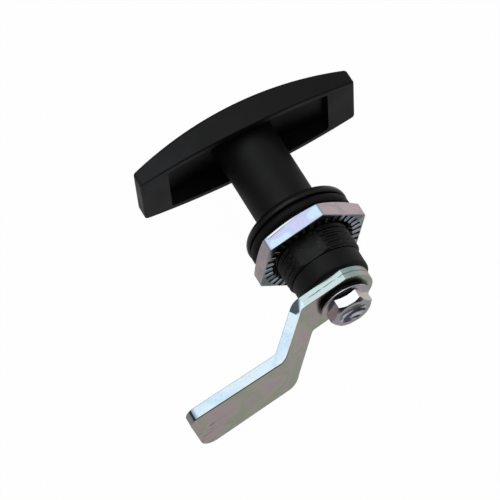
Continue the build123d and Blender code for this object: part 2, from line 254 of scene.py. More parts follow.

# Shades of marks, as shares of the colour below them; those of the slots, the roll line, the wedge, the
# fold, the edge line, the washer and the cone are painted shade and painted dark reflections
SLOT_PAINTED_SHADE = (0.1, 0.11, 0.12)
ROLL_PAINTED_SHADE = (0.06, 0.08, 0.08)
WEDGE_PAINTED_SHADE = (0.11, 0.115, 0.12)
HEAD_SHADE = (0.82, 0.85, 0.85)
HEAD_ROUGH_SHADE = (0.95, 0.98, 0.98)
SHEAR_SHADE = (0.16, 0.2, 0.18)
FACET_SHADE = (0.72, 0.7, 0.66)
FOLD_PAINTED_SHADE = (0.1, 0.1, 0.1)
EDGE_LINE_PAINTED_SHADE = (0.05, 0.05, 0.06)
RUBBED_SHADE = (0.55, 0.56, 0.56)
WASHER_PAINTED_SHADOW = (0.12, 0.12, 0.13)
CONE_PAINTED_SHADE = (0.12, 0.15, 0.16)

# Painted reflection colours in the bolt's dish, and colours of spring steel and of plastic
DISH_PAINTED_DARK = (0.03, 0.035, 0.035)
DISH_PAINTED_BLUE = (0.13, 0.12, 0.2)
DISH_PAINTED_STREAK = (0.86, 0.88, 0.95)
SPRING_DARK = (0.012, 0.012, 0.014)
SPRING_LIGHT = (0.035, 0.035, 0.04)
PLASTIC = (0.74, 0.73, 0.69)
PLASTIC_CLOUD = (0.82, 0.81, 0.78)

# Places in millimetres between which the handle's coat turns lighter towards its +X end, and the neck's
# waves set in
LIGHTER_END_SPAN = (10.0, 30.0)
NECK_SPAN = (0.2, 2.5)

# Ranges of noise that the film and the grain use, and noise drawn out (below 1) or squeezed (above 1)
FILM_SPAN = (0.39, 0.61)
GRAIN_SPAN = (0.25, 0.75)
SCRATCH_STRETCH = (0.25, 3.0, 3.0)
DISH_STRETCH = (0.35, 1, 1.3)
WIRE_STRETCH = (1, 6, 1)

# World: strengths as the part sees them, and the span of a direction over which each one changes
SKY_LEVEL = 0.52
SKY_LOW = 0.4
SKY_SIDE = 0.95
REAR_DARK = 0.04
FRONT_DARK = 0.3
SKY_HEIGHTS = (0.05, 0.75)
SKY_SIDE_SPAN = (0.5, 0.85)
REAR_SPAN = (0.55, 0.85)
FRONT_SPAN = (0.6, 0.9)

# Floor as reflections see it: strengths, the places in millimetres between which they change, and glow
FLOOR_NEAR = 0.42
FLOOR_FAR = 0.68
FLOOR_REAR = 0.03
FLOOR_SIDE_SPAN = (0.0, 160.0)
FLOOR_REAR_SPAN = (85.0, 200.0)
FLOOR_GLOW_SEEN = 0.98
FLOOR_GLOW_REFLECTED = 0.85

# Floor itself: half its width in metres, and its distance below the part in millimetres
FLOOR_HALF = 3.0
FLOOR_GAP = 0.2
FLOOR_COLOUR = (0.9, 0.9, 0.9, 1)

# Lamp, in metres and watts
LAMP_PLACE = (0.10, -0.20, 0.56)
LAMP_WIDTH = 0.54
LAMP_POWER = 0.68
LAMP_COLOUR = (0.93, 0.97, 1.0)


def set_socket(tree, socket, value):
    """Gives a socket its value, or links it where the value is another socket."""
    if isinstance(value, bpy.types.NodeSocket):
        tree.links.new(value, socket)
    else:
        socket.default_value = value


def add_node(tree, kind, **values):
    """A shader node with its sockets set; an underscore in a name stands for a space."""
    made = tree.nodes.new("ShaderNode" + kind)
    for name, value in values.items():
        set_socket(tree, made.inputs[name.replace("_", " ")], value)
    return made


def calc(tree, operation, *operands):
    """One step of arithmetic in the shader."""
    made = tree.nodes.new("ShaderNodeMath")
    made.operation = operation
    for socket, value in zip(made.inputs, operands):
        set_socket(tree, socket, value)
    return made.outputs[0]


def remap(tree, value, low, high, to_low=0.0, to_high=1.0):
    """The value taken smoothly from one range to another, and held at its ends."""
    made = tree.nodes.new("ShaderNodeMapRange")
    made.interpolation_type = "SMOOTHSTEP"
    tree.links.new(value, made.inputs["Value"])
    made.inputs["From Min"].default_value = low
    made.inputs["From Max"].default_value = high
    made.inputs["To Min"].default_value = to_low
    made.inputs["To Max"].default_value = to_high
    return made.outputs["Result"]


def above(tree, value, level, soft):
    """1 where the value is above a level and 0 where it is below, with a step as wide as soft."""
    return remap(tree, value, level - soft / 2, level + soft / 2)


def below(tree, value, level, soft):
    """1 where the value is below a level and 0 where it is above, with a step as wide as soft."""
    return remap(tree, value, level + soft / 2, level - soft / 2)


def every(tree, *masks):
    """The product of its values; with masks it is 1 only where all of them are 1."""
    product = masks[0]
    for mask in masks[1:]:
        product = calc(tree, "MULTIPLY", product, mask)
    return product


def mix_colour(tree, share, first, second, mode="MIX"):
    """Two colours mixed by a share."""
    made = tree.nodes.new("ShaderNodeMix")
    made.data_type = "RGBA"
    made.blend_type = mode
    for index, value in ((0, share), (6, first), (7, second)):
        if isinstance(value, tuple):
            value = (*value, 1.0)
        set_socket(tree, made.inputs[index], value)
    return made.outputs[2]


def darker(tree, colour, mask, shade):
    """The colour brought down to a share of itself where the mask is 1."""
    dimmed = mix_colour(tree, 1.0, colour, shade, "MULTIPLY")
    return mix_colour(tree, mask, colour, dimmed)


def colour_ramp(tree, value, stops):
    """A colour for each value, from (place, colour) pairs."""
    made = tree.nodes.new("ShaderNodeValToRGB")
    elements = made.color_ramp.elements
    while len(elements) < len(stops):
        elements.new(0.5)
    for element, (place, colour) in zip(elements, stops):
        element.position = place
        element.color = (*colour, 1.0)
    tree.links.new(value, made.inputs["Fac"])
    return made.outputs["Color"]


def place_in_mm(tree, stretch=(1, 1, 1), shift=0.0):
    """Place on the piece itself in millimetres, stretched and shifted, so that it moves with the piece."""
    coordinates = tree.nodes.new("ShaderNodeTexCoord")
    made = tree.nodes.new("ShaderNodeVectorMath")
    made.operation = "MULTIPLY_ADD"
    tree.links.new(coordinates.outputs["Object"], made.inputs[0])
    made.inputs[1].default_value = tuple(part / MM for part in stretch)
    made.inputs[2].default_value = (shift, 2 * shift, 3 * shift)
    return made.outputs[0]


def noise(tree, place, scale, detail=3.0, roughness=0.5):
    """Cloudy noise between about 0.25 and 0.75; the scale is in features per millimetre."""
    made = add_node(tree, "TexNoise", Vector=place, Scale=scale, Detail=detail, Roughness=roughness)
    return made.outputs[0]


def spread(tree, clouds, low, high):
    """Cloudy noise taken to a range, which most of it fills."""
    return remap(tree, clouds, 0.3, 0.7, low, high)


def along(tree, vector, direction):
    """How far a vector goes along a direction."""
    made = tree.nodes.new("ShaderNodeVectorMath")
    made.operation = "DOT_PRODUCT"
    tree.links.new(vector, made.inputs[0])
    made.inputs[1].default_value = direction
    return made.outputs["Value"]


def placed(tree, direction):
    """How far a place on the piece lies along a direction, in millimetres."""
    return along(tree, place_in_mm(tree), direction)


def faced(tree, direction):
    """How far the surface faces a direction: 1 straight at it, 0 square to it and -1 away from it."""
    normal = tree.nodes.new("ShaderNodeTexCoord").outputs["Normal"]
    return along(tree, normal, direction)


def facing(tree, direction, level, soft):
    """1 where the surface faces a direction by more than the level."""
    return above(tree, faced(tree, direction), level, soft)


def on_walls(tree):
    """1 on surfaces that run along the lock's axis, and 0 on those that face along it."""
    return below(tree, calc(tree, "ABSOLUTE", faced(tree, AXIS)), 0.4, 0.2)


def axis_distance(tree):
    """Distance from the lock's axis in millimetres."""
    parts = (placed(tree, SIDEWAYS), placed(tree, UP))
    squares = [calc(tree, "MULTIPLY", part, part) for part in parts]
    return calc(tree, "SQRT", calc(tree, "ADD", *squares))


def bump(tree, height, depth, before=None):
    """A bump that is depth millimetres deep where the height goes from 0 to 1."""
    made = add_node(tree, "Bump", Height=height, Distance=depth * MM)
    if before is not None:
        tree.links.new(before, made.inputs["Normal"])
    return made.outputs["Normal"]


def new_material(name, metallic, specular):
    """A material with its tree and its principled shader."""
    material = bpy.data.materials.new(name)
    material.use_nodes = True
    shader = material.node_tree.nodes["Principled BSDF"]
    shader.inputs["Metallic"].default_value = metallic
    shader.inputs["Specular IOR Level"].default_value = specular
    return material, material.node_tree, shader


def finish_material(tree, shader, colour, roughness, normal):
    """Joins a colour, a roughness and a normal to the shader."""
    tree.links.new(colour, shader.inputs["Base Color"])
    tree.links.new(roughness, shader.inputs["Roughness"])
    tree.links.new(normal, shader.inputs["Normal"])


def make_black_coat():
    """Satin black coat of the handle and the collar: fine orange peel, faint clouds, lighter towards the +X
    end, and dust.
    """
    material, tree, shader = new_material("black_coat", metallic=0.0, specular=0.21)
    place = place_in_mm(tree)
    clouds = noise(tree, place, scale=0.15)
    lighter_end = remap(tree, placed(tree, SIDEWAYS), *LIGHTER_END_SPAN)
    dust = every(tree, above(tree, noise(tree, place, scale=3.0, detail=2.0), 0.77, 0.06), 0.3)
    colour = mix_colour(tree, clouds, COAT, COAT_CLOUD)
    colour = mix_colour(tree, lighter_end, colour, COAT_LIGHTER_END)
    colour = mix_colour(tree, dust, colour, COAT_DUST)
    peel = bump(tree, noise(tree, place, scale=1.6, detail=2.0), depth=0.012)
    normal = bump(tree, noise(tree, place, scale=9.0, detail=2.0), depth=0.0025, before=peel)
    finish_material(tree, shader, colour, spread(tree, clouds, 0.4, 0.5), normal)
    return material


def make_cast_coat():
    """The same black on the die casting: nearly smooth on the flange, wavy on the neck, with lighter worn
    spots there that are partly painted highlights on its threads.
    """
    material, tree, shader = new_material("black_coat_cast", metallic=0.0, specular=0.28)
    place = place_in_mm(tree, shift=7.0)
    clouds = noise(tree, place, scale=0.4, detail=4.0)
    on_neck = remap(tree, placed(tree, AXIS), *NECK_SPAN)
    # Worn spots, made lighter still as painted highlights on the threads
    rubbed_and_sheen = every(tree, above(tree, noise(tree, place, scale=1.1), 0.66, 0.08), on_neck, 0.6)
    colour = mix_colour(tree, rubbed_and_sheen, mix_colour(tree, clouds, CAST, CAST_CLOUD), CAST_RUBBED_SHEEN)
    glossier = every(tree, calc(tree, "SUBTRACT", 1.0, on_neck), 0.27)
    roughness = calc(tree, "SUBTRACT", spread(tree, clouds, 0.38, 0.5), glossier)
    swell = every(tree, noise(tree, place, scale=0.7), remap(tree, on_neck, 0.0, 1.0, to_low=0.12))
    waves = bump(tree, swell, depth=0.05)
    normal = bump(tree, noise(tree, place, scale=5.0), depth=0.006, before=waves)
    finish_material(tree, shader, colour, roughness, normal)
    return material


def make_rubber(name, dark):
    """Moulded black rubber: finely dull, with a little bloom."""
    material, tree, shader = new_material(name, metallic=0.0, specular=0.16)
    place = place_in_mm(tree, shift=3.0)
    bloom = noise(tree, place, scale=0.5, detail=4.0)
    colour = mix_colour(tree, bloom, (dark, dark, dark), tuple(part * dark for part in RUBBER_BLOOM))
    normal = bump(tree, noise(tree, place, scale=8.0, detail=2.0), depth=0.004)
    finish_material(tree, shader, colour, spread(tree, bloom, 0.42, 0.56), normal)
    return material


def film_colours(tree, place, scale, shades):
    """Passivated zinc: a thin film whose tint wanders slowly over the surface."""
    patches = noise(tree, place, scale, detail=1.5, roughness=0.4)
    low, high = FILM_SPAN
    step = (high - low) / (len(shades) - 1)
    stops = [(low + step * index, shade) for index, shade in enumerate(shades)]
    return colour_ramp(tree, patches, stops)


def scratch_marks(tree, shift):
    """Fine straight scratches, from noise drawn out in one direction; 1 on a scratch."""
    lines = noise(tree, place_in_mm(tree, SCRATCH_STRETCH, shift), scale=1.0, detail=2.0, roughness=0.6)
    return above(tree, lines, 0.7, 0.08)


def nut_painted_light(tree, colour):
    """Painted shade in the slots of the nut's rear, and a painted highlight band with a painted dark line
    where its upper flat rolls over.
    """
    flatwise = placed(tree, NUT_FLATWISE)
    axial = placed(tree, AXIS)
    shaded_slot_floors = every(tree, facing(tree, AXIS, 0.2, 0.2), below(tree, axial, NUT_REAR - 0.2, 0.2))
    # Painted shade: the slot floors darkened as if in shadow
    colour = darker(tree, colour, shaded_slot_floors, SLOT_PAINTED_SHADE)
    roll_line = calc(tree, "MULTIPLY_ADD", flatwise, ROLL_SLOPE, ROLL_START)
    past_line = calc(tree, "SUBTRACT", axial, roll_line)
    on_flat = every(tree, facing(tree, TOP_DIRECTION, 0.925, 0.05), below(tree, flatwise, ROLL_END, 0.4))
    # Painted highlight: a silver band on the upper flat beyond the roll line
    colour = mix_colour(tree, every(tree, on_flat, below(tree, past_line, 0.0, 0.1)), colour, SILVER)
    # Painted dark line of shade along the roll line, fading towards one end
    strength = remap(tree, flatwise, *ROLL_FADE, to_low=0.2)
    line = below(tree, calc(tree, "ABSOLUTE", past_line), 0.09, 0.08)
    return darker(tree, colour, every(tree, on_flat, line, strength), ROLL_PAINTED_SHADE)


def paint_bend_shade(tree, colour):
    """A dark wedge of painted shade on the upper edge at the first bend, where the edge is squeezed."""
    axial = placed(tree, AXIS)
    drop = calc(tree, "MAXIMUM", calc(tree, "SUBTRACT", BEND_LEVEL, axial), 0.01)
    slope = calc(tree, "DIVIDE", calc(tree, "SUBTRACT", placed(tree, CAM_ALONG), BEND_START), drop)
    between = every(tree, above(tree, slope, -0.6, 0.4), below(tree, slope, 0.54, 0.08))
    # Painted shade: the wedge's darkness stands in for the shade of the squeezed edge
    wedge = every(tree, facing(tree, CAM_ACROSS, 0.7, 0.2), between, below(tree, axial, WEDGE_LEVEL, 0.6))
    return darker(tree, colour, wedge, WEDGE_PAINTED_SHADE)


def mark_head(tree, colour):
    """The head's upper edge, paler and duller than the arm's."""
    lengthwise = placed(tree, CAM_ALONG)
    dulled = every(tree, below(tree, lengthwise, HEAD_LENGTH, 0.4), facing(tree, CAM_ACROSS, 0.4, 0.2))
    pale = every(tree, dulled, facing(tree, CAM_ACROSS, 0.475, 0.25))
    colour = mix_colour(tree, pale, colour, PALE_GREEN)
    colour = darker(tree, colour, dulled, HEAD_SHADE)
    rough_end = every(tree, dulled, below(tree, lengthwise, HEAD_ROUGH_START, 0.6))
    return darker(tree, colour, rough_end, HEAD_ROUGH_SHADE)


def mark_shear_line(tree, colour):
    """The broken line round the head's edge where the cut turns from sheared to torn."""
    place = place_in_mm(tree)
    wander = every(tree, noise(tree, place, scale=0.7), SHEAR_WANDER)
    past_line = calc(tree, "SUBTRACT", calc(tree, "SUBTRACT", placed(tree, AXIS), wander), SHEAR_LEVEL)
    on_line = below(tree, calc(tree, "ABSOLUTE", past_line), 0.1, 0.1)
    broken = above(tree, noise(tree, place, scale=0.6, detail=2.0), 0.42, 0.08)
    on_head = below(tree, placed(tree, CAM_ALONG), SHEAR_LENGTH, 1.0)
    return darker(tree, colour, every(tree, on_walls(tree), on_head, broken, on_line), SHEAR_SHADE)


def mark_end_corner(tree, colour):
    """The struck upper corner of the cam's end: a dull facet, and beside it a dark line of painted shade
    where it folds.
    """
    at_end = every(tree, above(tree, placed(tree, CAM_ALONG), END_CORNER_START, 1.0), on_walls(tree))
    colour = darker(tree, colour, every(tree, at_end, facing(tree, CAM_ALONG, 0.46, 0.08)), FACET_SHADE)
    # Painted shade: a dark line on the rounded corner beside the facet
    outward = faced(tree, CAM_ALONG)
    fold = every(tree, at_end, above(tree, outward, 0.25, 0.1), below(tree, outward, 0.45, 0.1))
    return darker(tree, colour, fold, FOLD_PAINTED_SHADE)


def paint_edge_line_shade(tree, colour):
    """The dark line along the upper edge of the cam's end, on its rear face and on its upper side: a
    painted dark reflection of the rounded edge.
    """
    axial = placed(tree, AXIS)
    past_step = calc(tree, "MAXIMUM", calc(tree, "SUBTRACT", placed(tree, CAM_ALONG), CAM_STEP_START), 0.0)
    edge = calc(tree, "MULTIPLY_ADD", past_step, CAM_END_SLOPE, CAM_UPPER_WIDTH)
    past_edge = calc(tree, "SUBTRACT", placed(tree, CAM_ACROSS), edge)
    on_face = every(tree, facing(tree, AXIS, 0.3, 0.2), above(tree, past_edge, -EDGE_LINE_WIDTH, 0.12))
    on_side = every(tree, facing(tree, CAM_ACROSS, 0.7, 0.2), above(tree, axial, cam_rear - 0.15, 0.1))
    line = every(tree, above(tree, axial, EDGE_LINE_LEVEL, 2.0), calc(tree, "MAXIMUM", on_face, on_side))
    return darker(tree, colour, line, EDGE_LINE_PAINTED_SHADE)


def mark_end_scratches(tree, colour):
    """Rubbed scratches along the arm near its end."""
    lengthwise = placed(tree, CAM_ALONG)
    crosswise = placed(tree, CAM_ACROSS)
    place = add_node(tree, "CombineXYZ", X=every(tree, lengthwise, 0.22), Y=crosswise).outputs[0]
    scratches = above(tree, noise(tree, place, scale=1.1, roughness=0.6), 0.61, 0.1)
    near_end = above(tree, lengthwise, SCRATCHES_START, 5.0)
    under_top = below(tree, crosswise, SCRATCHES_HIGH, 2.0)
    over_foot = above(tree, crosswise, SCRATCHES_LOW, 3.0)
    return darker(tree, colour, every(tree, scratches, near_end, under_top, over_foot), RUBBED_SHADE)


def paint_washer_shadow(tree, colour):
    """A painted shadow: a dark ring round the spring washer on the head's rear face, under the bolt's
    flange.
    """
    near_washer = below(tree, axis_distance(tree), WASHER_SHADOW_RADIUS, 1.0)
    on_rear = above(tree, placed(tree, AXIS), HEAD_REAR - 0.25, 0.5)
    return darker(tree, colour, every(tree, near_washer, on_rear), WASHER_PAINTED_SHADOW)


def cam_marks_and_painted_shade(tree, colour):
    """Marks of the press and of use on the cam, with painted shade and painted dark reflections among them.
    """
    colour = paint_bend_shade(tree, colour)
    colour = mark_head(tree, colour)
    colour = mark_shear_line(tree, colour)
    colour = mark_end_corner(tree, colour)
    colour = paint_edge_line_shade(tree, colour)
    colour = mark_end_scratches(tree, colour)
    return paint_washer_shadow(tree, colour)


def paint_bolt_side_reflections(tree, colour):
    """Painted reflections: violet on one side of the bolt's head and cream on the other."""
    wall = on_walls(tree)
    sideways = faced(tree, SIDEWAYS)
    colour = mix_colour(tree, every(tree, wall, above(tree, sideways, 0.65, 0.3)), colour, VIOLET_REFLECTION)
    return mix_colour(tree, every(tree, wall, below(tree, sideways, -0.55, 0.3)), colour, CREAM_REFLECTION)


def bolt_painted_reflections(tree, colour):
    """The bolt's dish painted dark and blue with light streaks as a painted reflection, its sides tinted as
    painted reflections, and painted shade on the cone's upper part.
    """
    axial = placed(tree, AXIS)
    in_rim = below(tree, axis_distance(tree), BOLT_DISH_RADIUS - 0.075, 0.15)
    in_dish = every(tree, in_rim, above(tree, axial, BOLT_DISH_LOW, 0.2))
    # Painted reflection: the dish dark, and bluer towards +X
    bluer = above(tree, placed(tree, SIDEWAYS), -0.5, 4.2)
    colour = mix_colour(tree, in_dish, colour, mix_colour(tree, bluer, DISH_PAINTED_DARK, DISH_PAINTED_BLUE))
    colour = paint_bolt_side_reflections(tree, colour)
    on_cone = every(tree, below(tree, axial, BOLT_CONE_TOP, 0.2), facing(tree, AXIS, 0.6, 0.2))
    # Painted shade on the upper part of the bolt's cone
    painted_cone_shade = every(tree, on_cone, facing(tree, TOP_DIRECTION, 0.325, 0.15))
    colour = darker(tree, colour, painted_cone_shade, CONE_PAINTED_SHADE)
    # Painted reflection: light streaks in the dish
    streak_place = place_in_mm(tree, DISH_STRETCH, shift=31.0)
    streaks = above(tree, noise(tree, streak_place, scale=0.8, detail=2.0), 0.53, 0.1)
    return mix_colour(tree, every(tree, in_dish, streaks), colour, DISH_PAINTED_STREAK)


def make_zinc(name, tops, sides, faces, roughness, patch_scale, shift, marks=None):
    """Bright zinc plate whose film colour is picked by the way a surface faces, one for the upper sides,
    one for the other sides and one for the faces: the film is real, but the colour the upper sides take is
    a painted reflection of the light above.
    """
    material, tree, shader = new_material(name, metallic=1.0, specular=0.5)
    place = place_in_mm(tree, shift=shift)
    upward_film_and_reflection, side_film_and_reflection, face_film_and_reflection = (
        film_colours(tree, place, patch_scale, shades) for shades in (tops, sides, faces))
    on_face = above(tree, calc(tree, "ABSOLUTE", faced(tree, AXIS)), 0.475, 0.25)
    # Painted reflection: surfaces that face up take the top film's colours, as if lit by the light above
    colour = mix_colour(tree, facing(tree, TOP_DIRECTION, 0.75, 0.3), side_film_and_reflection, upward_film_and_reflection)
    colour = mix_colour(tree, on_face, colour, face_film_and_reflection)
    grain = noise(tree, place, scale=2.2, detail=4.0, roughness=0.6)
    colour = mix_colour(tree, remap(tree, grain, *GRAIN_SPAN, to_high=0.08), colour, WORN_ZINC)
    scratches = scratch_marks(tree, shift)
    colour = mix_colour(tree, every(tree, scratches, 0.25), colour, SCRATCHED_ZINC)
    if marks is not None:
        colour = marks(tree, colour)
    gloss = remap(tree, grain, *GRAIN_SPAN, roughness - 0.04, roughness + 0.05)
    waves = bump(tree, noise(tree, place, scale=0.3, detail=1.0), depth=0.02)
    rough = bump(tree, grain, depth=0.001, before=waves)
    finish_material(tree, shader, colour, gloss, bump(tree, scratches, depth=-0.003, before=rough))
    return material


def make_nut_zinc():
    """Blue and lavender film on the nut's upper flat, partly a painted reflection of the light above, mauve
    and beige on its other flats, and a steely rear.
    """
    tops = (AQUA, LAVENDER, PINK, LAVENDER, AQUA)
    sides = (MAUVE, ROSE_GREY, MAUVE, BEIGE)
    faces = (SLATE, STEEL, SLATE)
    return make_zinc("zinc_nut", tops, sides, faces, 0.25, patch_scale=0.17, shift=4.0, marks=nut_painted_light)


def make_cam_zinc():
    """Silver blue film on the cam's upper edges, partly a painted reflection of the light above, and olive
    and mauve clouds on its faces.
    """
    tops = (SILVER_BLUE, AQUA, SILVER_BLUE, PALE_GREEN)
    sides = (MAUVE, BEIGE)
    faces = (OLIVE, MAUVE, OLIVE, BEIGE, MAUVE)
    return make_zinc("zinc_cam", tops, sides, faces, 0.28, patch_scale=0.09, shift=11.0, marks=cam_marks_and_painted_shade)


def make_bolt_zinc():
    """Bright silver zinc on the bolt's upper side, partly a painted reflection of the light above, and
    lilac on its other sides.
    """
    tops = (SILVER, SILVER)
    sides = (LILAC, LILAC)
    faces = (STEEL, MAUVE, STEEL)
    return make_zinc("zinc_bolt", tops, sides, faces, 0.17, patch_scale=0.1, shift=17.0, marks=bolt_painted_reflections)


def make_spindle_zinc():
    """Plain zinc film on the spindle."""
    tops = (SILVER_BLUE, BEIGE)
    sides = (MAUVE, BEIGE)
    faces = (SILVER_BLUE, OLIVE)
    return make_zinc("zinc_spindle", tops, sides, faces, 0.3, patch_scale=0.15, shift=23.0)


def make_spring_steel():
    """Dark oiled spring steel with fine streaks that run across the lock's axis."""
    material, tree, shader = new_material("spring_steel", metallic=1.0, specular=0.5)
    streaks = noise(tree, place_in_mm(tree, WIRE_STRETCH, shift=5.0), scale=0.8, detail=4.0)
    colour = mix_colour(tree, streaks, SPRING_DARK, SPRING_LIGHT)
    normal = bump(tree, streaks, depth=0.01)
    finish_material(tree, shader, colour, spread(tree, streaks, 0.34, 0.48), normal)
    return material


def make_plastic():
    """White low-friction plastic, faintly clouded."""
    material, tree, shader = new_material("white_plastic", metallic=0.0, specular=0.4)
    place = place_in_mm(tree, shift=9.0)
    clouds = noise(tree, place, scale=0.4)
    colour = mix_colour(tree, clouds, PLASTIC, PLASTIC_CLOUD)
    normal = bump(tree, noise(tree, place, scale=4.0, detail=2.0), depth=0.006)
    finish_material(tree, shader, colour, spread(tree, clouds, 0.4, 0.5), normal)
    return material


black_coat = make_black_coat()
cast_coat = make_cast_coat()
gasket_rubber = make_rubber("black_rubber", 0.0035)
seal_rubber = make_rubber("seal_rubber", 0.01)
nut_zinc = make_nut_zinc()
cam_zinc = make_cam_zinc()
bolt_zinc = make_bolt_zinc()
spindle_zinc = make_spindle_zinc()
spring_steel = make_spring_steel()
white_plastic = make_plastic()


def polar(radius, angle, place):
    """A point at that radius and angle (from X towards Z) round the axis, at that place along it."""
    return (radius * math.cos(angle), place, radius * math.sin(angle))


def hexagon_radius(angle, flat, corner_round):
    """Distance from the centre to a hexagon with rounded corners; angle 0 is at a corner."""
    from_corner = abs((angle + math.pi / 6) % (math.pi / 3) - math.pi / 6)
    to_flat = math.pi / 6 - from_corner
    if flat * math.tan(to_flat) <= (flat - corner_round) * math.tan(math.pi / 6):
        return flat / math.cos(to_flat)
    centre = (flat - corner_round) / math.cos(math.pi / 6)
    across = centre * math.sin(from_corner)
    return centre * math.cos(from_corner) + math.sqrt(corner_round**2 - across**2)


def quarter(start, end, centre, steps):
    """Points of a quarter turn from start to end, (radius, place) pairs about a centre."""
    first = math.atan2(start[1] - centre[1], start[0] - centre[0])
    last = math.atan2(end[1] - centre[1], end[0] - centre[0])
    turn = (last - first + math.pi) % (2 * math.pi) - math.pi
    radius = math.dist(start, centre)
    points = []
    for step in range(steps + 1):
        angle = first + turn * step / steps
        points.append((centre[0] + radius * math.cos(angle), centre[1] + radius * math.sin(angle)))
    return points


def labelled(kind, pairs):
    """Rows of one kind from pairs of a size and a place."""
    return [(kind, size, place) for size, place in pairs]


def smooth_step(value, low, high):
    """0 below low, 1 above high and a smooth rise between them."""
    share = min(1.0, max(0.0, (value - low) / (high - low)))
    return share * share * (3 - 2 * share)


def flatten_shading(thing):
    """Large faces keep their own normal, so that only the rounded edges shade softly."""
    weighted = thing.modifiers.new("large_faces_flat", "WEIGHTED_NORMAL")
    weighted.weight = 100
    weighted.keep_sharp = True


def make_object(name, points, faces, material, sharp):
    """A mesh object from points in millimetres, smooth up to the sharp angle, with flat faces kept flat."""
    mesh = bpy.data.meshes.new(name)
    mesh.from_pydata([Vector(point) * MM for point in points], [], faces)
    mesh.validate()
    mesh.materials.append(material)
    mesh.shade_smooth()
    mesh.set_sharp_from_angle(angle=math.radians(sharp))
    thing = bpy.data.objects.new(name, mesh)
    bpy.context.scene.collection.objects.link(thing)
    flatten_shading(thing)
    return thing


def turned_piece(name, rows, columns, point, material, sharp, closed=True):
    """A turned mesh: point(row, angle) gives each place; the rows close in a ring, or end on the axis."""
    points = []
    faces = []
    for column in range(columns):
        angle = 2 * math.pi * column / columns
        points.extend(point(row, angle) for row in range(rows))
    for column in range(columns):
        here = column * rows
        after = (column + 1) % columns * rows
        for row in range(rows if closed else rows - 1):
            beside = (row + 1) % rows
            faces.append((here + row, here + beside, after + beside, after + row))
    if not closed:
        first = len(points)
        last = first + 1
        points.append((0, point(0, 0)[1], 0))
        points.append((0, point(rows - 1, 0)[1], 0))
        for column in range(columns):
            after = (column + 1) % columns
            faces.append((first, column * rows, after * rows))
            faces.append((last, after * rows + rows - 1, column * rows + rows - 1))
    return make_object(name, points, faces, material, sharp)


def neck_radius(angle, place):
    """The neck's surface: a blunt right-hand thread that fades out before the two flats."""
    turn = (place / THREAD_PITCH + angle / (2 * math.pi) + THREAD_PHASE) % 1
    groove = smooth_step(abs(2 * turn - 1), *THREAD_FLANK)
    begun = smooth_step(place, THREAD_START, THREAD_START + THREAD_PITCH)
    from_flat = angle - math.radians(CAM_ANGLE + 90)
    level = abs(math.cos(from_flat))
    clear = smooth_step(math.degrees(math.acos(min(1.0, level))), *THREAD_FADE)
    radius = NECK_RADIUS - THREAD_DEPTH * groove * begun * clear
    if place > NECK_END - NECK_BEVEL:
        radius = min(radius, NECK_RADIUS - (place - NECK_END + NECK_BEVEL))
    flat = NECK_FLAT / max(level, 0.1)
    return (radius + flat - math.sqrt((radius - flat)**2 + NECK_SOFTNESS**2)) / 2


def flange_rows():
    """The flange's outline, from the recess in its front round to its rear face."""
    front_inner = FLANGE_RADIUS - FLANGE_FRONT_ROUND
    front_depth = FLANGE_FRONT_ROUND * FLANGE_FRONT_STRETCH
    rear_inner = FLANGE_RADIUS - FLANGE_REAR_ROUND
    rear_start = (FLANGE_RADIUS, -FLANGE_REAR_ROUND)
    rows = [(RECESS_RADIUS, FLANGE_FRONT + EDGE_BREAK), (RECESS_RADIUS + EDGE_BREAK, FLANGE_FRONT)]
    for out, down in quarter((0, -1), (1, 0), (0, 0), steps=12):
        rows.append((front_inner + FLANGE_FRONT_ROUND * out, FLANGE_FRONT + front_depth * (1 + down)))
    return rows + quarter(rear_start, (rear_inner, 0), (rear_inner, -FLANGE_REAR_ROUND), steps=4)


def bore_rows():
    """The bore's outline, from the neck's end forward to the recess."""
    counterbore_floor = NECK_END - COUNTERBORE_DEPTH
    return [
        (COUNTERBORE_RADIUS, NECK_END),
        (COUNTERBORE_RADIUS, counterbore_floor),
        (BORE_RADIUS, counterbore_floor),
        (BORE_RADIUS, RECESS_FLOOR),
        (RECESS_RADIUS, RECESS_FLOOR),
    ]


def make_housing():
    """Flange, threaded neck with two flats, bore and stop lug, as one turned shape."""
    rows = flange_rows()
    neck_steps = round(NECK_END / THREAD_PITCH * ROWS_PER_PITCH)
    rows += [(None, NECK_END * step / neck_steps) for step in range(neck_steps + 1)]
    lug_rows = (len(rows) + 1, len(rows) + 2)
    lug_radii = (LUG_OUTER + ROW_GAP, LUG_OUTER, LUG_INNER, LUG_INNER - ROW_GAP)
    rows += [(radius, NECK_END) for radius in lug_radii]
    rows += bore_rows()
    half_lug = math.radians(LUG_ANGLE / 2)

    def point(row, angle):
        radius, place = rows[row]
        if radius is None:
            radius = neck_radius(angle, place)
        from_lug = (angle - math.radians(CAM_ANGLE) + math.pi) % (2 * math.pi) - math.pi
        if row in lug_rows and abs(from_lug) <= half_lug:
            place += LUG_HEIGHT
        return polar(radius, angle, place)

    piece = turned_piece("housing_body_turned", len(rows), 360, point, cast_coat, sharp=40)
    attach(piece, "housing_body")
    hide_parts("housing")


def tooth_drop(radius, angle):
    """How far the nut's rear face is cut down by its radial slots."""
    if radius > TOOTH_OUTER:
        return 0.0
    turn = (angle * TOOTH_COUNT / (2 * math.pi) + TOOTH_PHASE) % 1
    across = abs(turn - 0.5) / (TOOTH_SHARE / 2)
    return TOOTH_DEPTH * max(0.0, 1 - across) ** TOOTH_FLANK


